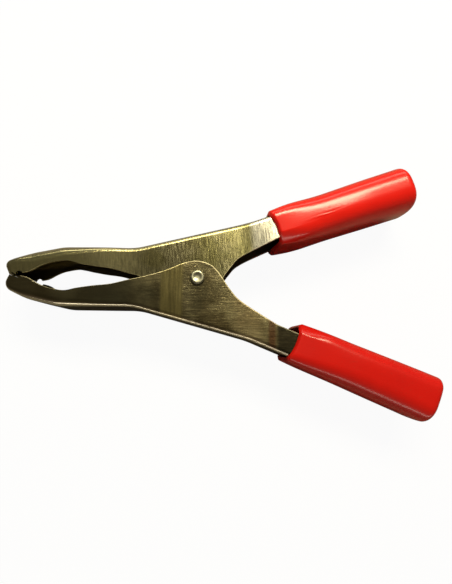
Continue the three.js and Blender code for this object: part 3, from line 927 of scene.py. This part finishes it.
# %% Turn the rivet and the bush
RIVET_SHANK = 1.9
BUSH_BORE, BUSH_WALL = 2.2, 1.2


def rolled_rivet():
    face = LOWER_HALF + GAP
    top = RIVET_HALF
    head = RIVET_HEAD
    button = [(0, -top), (head * 0.35, -top + 0.03), (head * 0.62, -top + 0.12),
              (head * 0.86, -top + 0.38), (head * 0.97, -top + 0.7), (head, -face - 0.12),
              (head * 0.97, -face), (RIVET_SHANK, -face)]
    rim = [(RIVET_SHANK, face), (head * 0.97, face), (head, face + 0.15), (head, top - 0.5),
           (head * 0.98, top - 0.28), (head * 0.93, top - 0.11), (head * 0.84, top - 0.02),
           (head * 0.72, top), (head * 0.6, top - 0.04), (head * 0.5, top - 0.14),
           (head * 0.38, top - 0.26), (head * 0.2, top - 0.34), (0, top - 0.36)]
    return lathe("rolled_rivet", button + rim, rivet_plate, Matrix.Translation(PIVOT), sides=96)


def brass_bush():
    low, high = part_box("pivot_bush")
    half = (high.z - low.z) / 2 / MM
    outer = BUSH_BORE + BUSH_WALL
    profile = round_corners([(BUSH_BORE, 0), (BUSH_BORE, half), (outer, half), (outer, -half),
                             (BUSH_BORE, -half), (BUSH_BORE, 0)], 0.25)
    return lathe("brass_bush", profile[:-1], brass, Matrix.Translation(PIVOT), sides=64, closed=True)


rivet = rolled_rivet()
bush = brass_bush()
print("rivet and bush faces:", len(rivet.data.polygons), len(bush.data.polygons))

# %% [markdown]
# ## Wire that follows a path
#
# The spring and the split washer are both a bar bent along a path, which is a job for
# Geometry Nodes: the tree sweeps a profile along whatever curve the object holds. The
# profile's radius and its number of sides are named inputs, so a round wire and a square one
# come from one tree.

# %% Bent wire tree
def make_bent_wire():
    tree = bpy.data.node_groups.new("bent wire", "GeometryNodeTree")
    face = tree.interface
    face.new_socket("Path", in_out="INPUT", socket_type="NodeSocketGeometry")
    for title, kind in (("Wire radius", "NodeSocketFloat"), ("Sides", "NodeSocketInt"),
                        ("Finish", "NodeSocketMaterial")):
        face.new_socket(title, in_out="INPUT", socket_type=kind)
    face.new_socket("Wire", in_out="OUTPUT", socket_type="NodeSocketGeometry")
    given = tree.nodes.new("NodeGroupInput")
    profile = add_node(tree, "GeometryNodeCurvePrimitiveCircle",
                       {"Resolution": given.outputs["Sides"], "Radius": given.outputs["Wire radius"]})
    swept = add_node(tree, "GeometryNodeCurveToMesh",
                     {"Curve": given.outputs["Path"], "Profile Curve": profile.outputs[0],
                      "Fill Caps": True})
    real = add_node(tree, "GeometryNodeRealizeInstances", {0: swept.outputs[0]})
    finished = add_node(tree, "GeometryNodeSetMaterial",
                        {"Geometry": real.outputs[0], "Material": given.outputs["Finish"]})
    output = tree.nodes.new("NodeGroupOutput")
    tree.links.new(finished.outputs[0], output.inputs["Wire"])
    return tree


bent_wire = make_bent_wire()


def bend_wire(name, route, radius, sides, material, sharp):
    """Bakes the tree's wire along route, a list of places in metres, into a plain mesh."""
    curve = bpy.data.curves.new(name + "_path", "CURVE")
    curve.dimensions = "3D"
    curve.twist_mode = "Z_UP" if sides == 4 else "MINIMUM"
    line = curve.splines.new("POLY")
    line.points.add(len(route) - 1)
    for point, place in zip(line.points, route):
        point.co = (*place, 1.0)
    path = bpy.data.objects.new(name + "_path", curve)
    scene.collection.objects.link(path)
    sweep = path.modifiers.new("bent wire", "NODES")
    sweep.node_group = bent_wire
    values = {"Wire radius": radius * MM, "Sides": sides, "Finish": material}
    for item in bent_wire.interface.items_tree:
        if item.in_out == "INPUT" and item.name in values:
            sweep[item.identifier] = values[item.name]
    evaluated = path.evaluated_get(bpy.context.evaluated_depsgraph_get())
    mesh = bpy.data.meshes.new_from_object(evaluated)
    bpy.data.objects.remove(path)
    bm = bmesh.new()
    bm.from_mesh(mesh)
    bpy.data.meshes.remove(mesh)
    bmesh.ops.remove_doubles(bm, verts=bm.verts[:], dist=1e-7)
    bmesh.ops.recalc_face_normals(bm, faces=bm.faces[:])
    return finish_mesh(name, bm, material, sharp)

# %% [markdown]
# ## The spring's route
#
# The coil winds round the bush five times and a little more. Each leg leaves it along a
# tangent, runs to its arm's web and turns to lie flat on it. The pitch is a little more than
# the wire is thick, so the turns stay clear of each other.

# %% Bend the spring
WIRE_RADIUS = 1.0
COIL_RADIUS = 5.0
COIL_TURNS = 5
PITCH = 2 * WIRE_RADIUS + 0.35


def spring_route():
    elbow, tip = Vector((19.5, 18.9)), Vector((27, 21.4))
    lean = math.atan2(elbow.y, elbow.x) - math.atan2(
        COIL_RADIUS, math.sqrt(elbow.length_squared - COIL_RADIUS ** 2))
    start = lean + math.pi / 2
    sweep = 2 * math.pi * COIL_TURNS + (math.pi - 2 * lean)
    rise = PITCH * sweep / (2 * math.pi)
    leave = Vector((math.cos(start), math.sin(start))) * COIL_RADIUS
    leg = rounded_path([tip[:], (*elbow, 3.0), leave[:]], steps=14)
    straight = leg.pop()
    leg += [leg[-1].lerp(straight, k / 8) for k in range(1, 8)]
    steps = 64 * COIL_TURNS
    coil = []
    for i in range(steps + 1):
        turn = start + sweep * i / steps
        coil.append(to_world((COIL_RADIUS * math.cos(turn), COIL_RADIUS * math.sin(turn)),
                             rise * (i / steps - 0.5)))
    first = [to_world(p, -rise / 2) for p in leg]
    last = [to_world((p.x, -p.y), rise / 2) for p in reversed(leg)]
    return first + coil + last, rise


route, spring_rise = spring_route()
spring = bend_wire("closing_spring", route, WIRE_RADIUS, 20, spring_wire, 70)
print("spring faces:", len(spring.data.polygons), "coil height, mm:", round(spring_rise, 2))

# %% [markdown]
# ## Plate, washer and screw
#
# The clamp plate is a square punching with bevelled edges and a hole. The split washer is
# the same bent wire as the spring with four sides, nearly one full turn with its ends a
# little apart. The pan-head screw is turned, then a slot is cut across it, and its shank
# carries thread ridges that a loop spaces out.

# %% Make the clamp stack
PLATE_SIDE = 10.4
SCREW_HEAD_HEIGHT = 2.4
THREAD_PITCH = 0.7
SLOT = (9, 1, 2.6)              # length, width and twice the depth of the driver slot


def clamp_square():
    bm = bmesh.new()
    bmesh.ops.create_cube(bm, size=1.0)
    bmesh.ops.scale(bm, vec=Vector((PLATE_SIDE, PLATE_SIDE, PLATE)) * MM, verts=bm.verts[:])
    bmesh.ops.bevel(bm, geom=[e for e in bm.edges if abs(e.verts[0].co.z - e.verts[1].co.z) > MM / 2],
                    offset=1.2 * MM, segments=5, profile=0.5, affect="EDGES")
    rims = [e for e in bm.edges if abs(e.verts[0].co.z - e.verts[1].co.z) < MM / 100]
    bmesh.ops.bevel(bm, geom=rims, offset=0.2 * MM, segments=3, profile=0.5, affect="EDGES")
    bmesh.ops.transform(bm, matrix=terminal @ Matrix.Translation((0, 0, (PLATE_LOW + PLATE / 2) * MM)),
                        verts=bm.verts[:])
    plate = finish_mesh("clamp_square", bm, brass, 35)
    return cut_with(plate, [drill(TAPPING, -4, 9, brass, terminal)])


def split_washer():
    radius, thick = SCREW_RADIUS + 0.95, WASHER / 2
    low = PLATE_LOW + PLATE + GAP + thick
    gap = 0.16
    steps = 60
    turns = [gap + (2 * math.pi - 2 * gap) * i / steps for i in range(steps + 1)]
    places = [terminal @ Vector((radius * MM * math.cos(a), radius * MM * math.sin(a),
                                 (low + 0.1 * (a / math.pi - 1)) * MM)) for a in turns]
    return bend_wire("split_washer", places, thick, 4, spring_wire, 40)


def terminal_screw():
    under = PLATE_LOW + PLATE + WASHER + 2 * GAP
    top = under + SCREW_HEAD_HEIGHT
    shank = [(0, -SHEET + 0.3), (SCREW_RADIUS - 0.5, -SHEET + 0.3)]
    ridges = int((under + SHEET - 1.0) / THREAD_PITCH)
    for i in range(ridges):
        z = -SHEET + 0.6 + i * THREAD_PITCH
        shank += [(SCREW_RADIUS - 0.35, z), (SCREW_RADIUS, z + THREAD_PITCH / 2)]
    shank.append((SCREW_RADIUS - 0.35, under - 0.1))
    head = [(SCREW_RADIUS - 0.35, under), (3.5, under), (3.7, under + 0.2), (3.7, top - 0.9),
            (3.6, top - 0.55), (3.3, top - 0.25), (2.8, top - 0.1), (1.6, top), (0, top)]
    screw = lathe("terminal_screw", shank + head, brass, terminal, sides=64)
    bm = bmesh.new()
    bmesh.ops.create_cube(bm, size=1.0)
    bmesh.ops.scale(bm, vec=Vector(SLOT) * MM, verts=bm.verts[:])
    bmesh.ops.transform(bm, matrix=terminal @ Matrix.Translation((0, 0, top * MM)), verts=bm.verts[:])
    return cut_with(screw, [finish_mesh("slot_tool", bm, brass)])


plate, washer, screw = clamp_square(), split_washer(), terminal_screw()
for piece in (plate, washer, screw):
    print(piece.name, "faces:", len(piece.data.polygons))

# %% [markdown]
# ## Sleeves
#
# A dipped sleeve is pulled over the end of each handle. At its mouth it takes the square
# shape of the channel, with a crease along the free edge of the cheek, and further back it
# relaxes into a fat oval that closes round the cable. So its section changes all the way:
# stations give the half width towards the back, the half width towards the open side and
# the half depth, and the values between are averaged so that no station shows as a line.
# The mouth isn't cut square either: it dips back in the middle of each broad face, and on the
# upper sleeve its back edge and its far lip on the open side reach further forward.

# %% Sleeve sections
SLEEVE_WALL = 1.4
SLEEVE_LENGTH = 55.6
SLEEVE_AXIS = 5.5
CABLE_HOLE = 5.0
REAR_ROUND = 2.2
RIM_ROUND, RIM_SLANT = 0.35, 0.9
CORNER_STEPS, TOP_STEPS, SIDE_STEPS = 14, 18, 8
SKIN_STOPS, LINING_STOPS = 130, 60
sleeve_low, sleeve_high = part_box("lower_grip")
REAR_HALF = (sleeve_high.z - sleeve_low.z) / 2 / MM
MOUTH_HALF = LOWER_HALF + GAP + SLEEVE_WALL

LOWER_SLEEVE = {"open_corner": 4.5, "oval": 0.35, "mouth_bow": 0.9, "mouth_tilt": 0.0,
                "far_lip": 0.0, "stations": [
    (0, 7.3, 7.3, MOUTH_HALF), (4, 7.5, 7.5, MOUTH_HALF + 0.3), (9, 7.7, 7.8, MOUTH_HALF + 0.6),
    (16, 7.85, 8.1, REAR_HALF - 0.3), (25, 8, 8.4, REAR_HALF), (SLEEVE_LENGTH, 8.6, 9.1, REAR_HALF),
]}
UPPER_SLEEVE = {"open_corner": 7.0, "oval": 1.0, "mouth_bow": 0.4, "mouth_tilt": 0.9,
                "far_lip": 1.5, "stations": [
    (0, 7.3, 5.8, MOUTH_HALF), (4, 7.7, 6.6, MOUTH_HALF + 0.3), (9, 8.2, 7.3, MOUTH_HALF + 0.6),
    (16, 8.45, 7.7, REAR_HALF - 0.3), (25, 8.7, 7.9, REAR_HALF), (SLEEVE_LENGTH, 9.2, 8.5, REAR_HALF),
]}


def straight_size(stations, x):
    x = min(max(x, 0.0), SLEEVE_LENGTH)
    for a, b in zip(stations, stations[1:]):
        if x <= b[0]:
            t = (x - a[0]) / (b[0] - a[0])
            return [lerp(p, q, t) for p, q in zip(a[1:], b[1:])]
    return list(stations[-1][1:])


def smooth_size(stations, x, reach=3.0, samples=9):
    """The sizes at x, averaged over a stretch that shrinks to nothing at the two ends."""
    reach = min(reach, x, SLEEVE_LENGTH - x)
    rows = [straight_size(stations, x + reach * (2 * i / (samples - 1) - 1)) for i in range(samples)]
    return [sum(column) / samples for column in zip(*rows)]


def oval_push(y, z, half_y, half_z, fullness, amount):
    """Moves a point on a rounded rectangle part of the way to a full oval."""
    c, n = abs(y) / half_y, abs(z) / half_z
    reach = (c ** fullness + n ** fullness) ** (-1 / fullness)
    return y * lerp(1, reach, amount), z * lerp(1, reach, amount)


def sleeve_ring(x, size, inset, sleeve, swell=None):
    """The section at x: a creased rounded rectangle that becomes an oval."""
    back_half, open_half, half_depth = size
    middle_y = (back_half - open_half) / 2
    half_y, top = (back_half + open_half) / 2 - inset, half_depth - inset
    crease = 0.75 * (1 - smoothstep(x, 2, 13))
    oval = sleeve["oval"] * smoothstep(x, 4, 24)
    corners = []
    for quarter in range(4):
        at_back = quarter in (0, 3)
        sign_z = 1 if quarter < 2 else -1
        full = 7.0 if at_back else sleeve["open_corner"]
        radius = max(lerp(3.4, full, smoothstep(x, -6, 30)) - inset, 1.2)
        flat = 0.0 if at_back else crease
        from_y, from_z = math.cos(quarter * math.pi / 2), math.sin(quarter * math.pi / 2)
        arc = []
        for j in range(CORNER_STEPS + 1):
            t = j / CORNER_STEPS
            a = (quarter + t) * math.pi / 2
            cos_a = lerp(math.cos(a), lerp(from_y, -from_z, t), flat)
            sin_a = lerp(math.sin(a), lerp(from_z, from_y, t), flat)
            arc.append(((half_y - radius) * (1 if at_back else -1) + radius * cos_a,
                        sign_z * (top - radius) + radius * sin_a))
        corners.append(arc)
    ring = []
    for quarter in range(4):
        arc, following = corners[quarter], corners[(quarter + 1) % 4]
        steps = TOP_STEPS if quarter in (0, 2) else SIDE_STEPS
        (y0, z0), (y1, z1) = arc[-1], following[0]
        ring += arc + [(lerp(y0, y1, k / (steps + 1)), lerp(z0, z1, k / (steps + 1)))
                       for k in range(1, steps + 1)]
    placed = []
    near_mouth = 1 - smoothstep(x, 0, 9)
    for y, z in ring:
        y, z = oval_push(y, z, half_y, top, 2.85, oval)
        pull = 1 + (swell(x, math.atan2(z, y)) if swell else 0.0)
        bow = sleeve["mouth_bow"] * (1 - (y / half_y) ** 2) * (abs(z) / top) ** 6
        far_lip = max(-y / half_y, 0) * smoothstep(-z / top, -0.7, 0.3)
        shift = near_mouth * (bow - sleeve["mouth_tilt"] * max(y / half_y, 0)
                              - sleeve["far_lip"] * far_lip)
        placed.append((x + shift, sleeve["side"] * (y * pull + middle_y), z * pull))
    return placed


def sleeve_rings(sleeve, swell):
    def ring(x, inset, soft=None):
        size = smooth_size(sleeve["stations"], min(x, SLEEVE_LENGTH - 0.01))
        return sleeve_ring(x, size, inset, sleeve, soft)

    def lip(x, inset, soft=None):
        """The mouth's rim slants, so that its inner edge stands a little further forward."""
        return ring(x + RIM_SLANT * (1 - inset / SLEEVE_WALL), inset, soft)

    quarter_turn = [k / 4 * math.pi / 2 for k in range(5)]
    rings = [lip(RIM_ROUND * (1 - math.sin(a)), RIM_ROUND * (1 - math.cos(a)), swell)
             for a in reversed(quarter_turn)]
    body_end = SLEEVE_LENGTH - REAR_ROUND
    rings += [ring(lerp(1.6, body_end - 0.4, i / SKIN_STOPS), 0.0, swell)
              for i in range(SKIN_STOPS + 1)]
    for k in range(11):
        a = k / 10 * math.pi / 2
        rings.append(ring(body_end + REAR_ROUND * math.sin(a), REAR_ROUND * (1 - math.cos(a)), swell))
    for widen, x in ((0.6, 0.0), (0.15, 0.05), (0.0, 0.3), (0.0, SLEEVE_WALL)):
        rings.append(cable_ring(rings[10], SLEEVE_LENGTH - x, CABLE_HOLE + widen, sleeve["side"]))
    inner_end = SLEEVE_LENGTH - SLEEVE_WALL
    inner_round = 1.6
    for k in range(7):
        a = (1 - k / 6) * math.pi / 2
        rings.append(ring(inner_end - inner_round * (1 - math.sin(a)),
                          SLEEVE_WALL + inner_round * (1 - math.cos(a))))
    rings += [ring(lerp(inner_end - inner_round - 0.6, 0.8, i / LINING_STOPS), SLEEVE_WALL)
              for i in range(LINING_STOPS + 1)]
    rings += [lip(RIM_ROUND * (1 - math.sin(a)), SLEEVE_WALL - RIM_ROUND * (1 - math.cos(a)))
              for a in quarter_turn]
    return rings


def cable_ring(like, x, radius, side):
    """A round ring with the same point count, so the end wall closes round the cable."""
    ring = []
    for _, y, z in like:
        a = math.atan2(z, side * y)
        ring.append((x, side * radius * math.cos(a), radius * math.sin(a)))
    return ring


def pull_sleeve(name, arm, sleeve, material, swell):
    mouth = arm.handle(arm.mouth, SLEEVE_AXIS)
    place = Matrix.Translation(to_world((mouth.x, arm.side * mouth.y))) @ Matrix.Rotation(
        arm.side * arm.angle, 4, "Z") @ Matrix.Scale(MM, 4)
    bm = loft(sleeve_rings({**sleeve, "side": arm.side}, swell), join_ends=True)
    bmesh.ops.transform(bm, matrix=place, verts=bm.verts[:])
    return finish_mesh(name, bm, material, 60)

# %% [markdown]
# ## Unevenness
#
# Stretched vinyl is never perfectly even. Slow waves pull the skin in by up to about a quarter
# of a millimetre, and on the upper sleeve a patch of short folds lies a third of the way back.
# Both only pull inwards. Depths are shares of the distance from the sleeve's axis, and a is
# the angle round that axis.

# %% Pull on the sleeves
UPPER_WAVE, LOWER_WAVE = 0.016, 0.008
FOLDS_X, FOLDS_A = 20, 1.82
FOLDS_LENGTH, FOLDS_SPREAD = 6.0, 0.13
FOLDS_RATE, FOLDS_DEPTH = 62, 0.017


def slow_waves(x, a, seed):
    return 0.5 + 0.25 * math.sin(x * 0.21 + 2 * a + seed) + 0.25 * math.sin(x * 0.09 - 3 * a + 2 * seed)


def upper_swell(x, a):
    wave = -UPPER_WAVE * slow_waves(x, a, 1.3)
    lengthways, round_it = (x - FOLDS_X) / FOLDS_LENGTH, (a - FOLDS_A) / FOLDS_SPREAD
    patch = math.exp(-lengthways ** 2) * math.exp(-round_it ** 2)
    folds = 0.5 + 0.5 * math.sin((a - FOLDS_A) * FOLDS_RATE + math.sin(x * 0.5) * 0.7)
    return wave - FOLDS_DEPTH * patch * folds


def lower_swell(x, a):
    return -LOWER_WAVE * slow_waves(x, a, 4.1)


lower_sleeve = pull_sleeve("lower_sleeve", lower, LOWER_SLEEVE, lower_vinyl, lower_swell)
upper_sleeve = pull_sleeve("upper_sleeve", upper, UPPER_SLEEVE, upper_vinyl, upper_swell)
for piece in (lower_sleeve, upper_sleeve):
    print(piece.name, "faces:", len(piece.data.polygons))

# %% [markdown]
# ## What moves with what
#
# Everything on the rivet side belongs to the lower arm, and the upper arm turns about the
# rivet with its own sleeve. The spring's low leg lies on the upper arm and its high leg on
# the lower arm, so the coil winds up as the jaws open; here it is baked in place and rides
# with neither arm.

# %% Ride and replace
RIDES = [
    (lower_arm, "lower_arm", "lower_jaw_arm", "arm_steel"),
    (rivet, "lower_arm", "pivot_rivet", "rivet_steel"),
    (bush, "lower_arm", "pivot_bush", "brass"),
    (lower_sleeve, "lower_arm", "lower_grip", "red_vinyl"),
    (plate, "lower_arm", "cable_clamp_plate", "brass"),
    (washer, "lower_arm", "cable_lock_washer", "spring_steel"),
    (screw, "lower_arm", "cable_screw", "brass"),
    (upper_arm, "upper_arm", "upper_jaw_arm", "arm_steel"),
    (upper_sleeve, "upper_arm", "upper_grip", "red_vinyl"),
]
for piece, body, node, finish in RIDES:
    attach(piece, body)
    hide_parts(node)

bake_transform(spring)
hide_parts("torsion_spring")
print("pieces:", len(RIDES) + 1)
